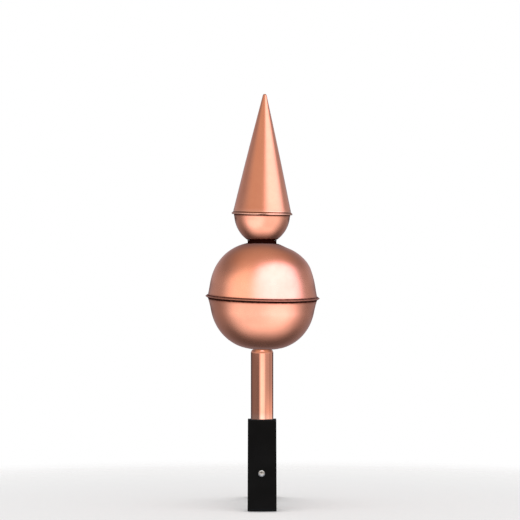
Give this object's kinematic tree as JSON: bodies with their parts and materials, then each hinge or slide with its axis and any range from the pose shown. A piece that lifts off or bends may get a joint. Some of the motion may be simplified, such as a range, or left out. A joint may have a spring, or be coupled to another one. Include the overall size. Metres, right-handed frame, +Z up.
{
  "type": "roof finial",
  "caption": "Spun-copper roof finial: a cone spire on a bowl and a seamed ball, on a short tube stem, fixed by a steel strap that bends over the roof ridge and is screwed down on both slopes.",
  "frame": {"origin": "middle of the flat underside of the strap's crown, where it sits on the roof's ridge", "axes": "+Z up along the finial's axis to the tip of the cone; X along the ridge, across the strap's width; -Y down the front leg, the side that the picture shows"},
  "size_m": [0.1454, 0.2492, 0.5268],
  "materials": {
    "spire_cone": "satin bright copper sheet",
    "spire_bowl": "satin bright copper sheet",
    "neck_collar": "dull copper, darkened in the joint",
    "ball_upper_half": "satin bright copper sheet",
    "ball_lower_half": "satin bright copper sheet",
    "stem_tube": "satin copper pipe",
    "ridge_strap": "black powder coat, matt to satin",
    "front_screw": "bright zinc plate",
    "rear_screw": "bright zinc plate"
  },
  "bodies": {
    "root": {"spire_cone": "spire_cone", "spire_bowl": "spire_bowl", "neck_collar": "neck_collar", "ball_upper_half": "ball_upper_half", "ball_lower_half": "ball_lower_half", "stem_tube": "stem_tube", "ridge_strap": "ridge_strap", "front_screw": "front_screw", "rear_screw": "rear_screw"}
  },
  "joints": []
}
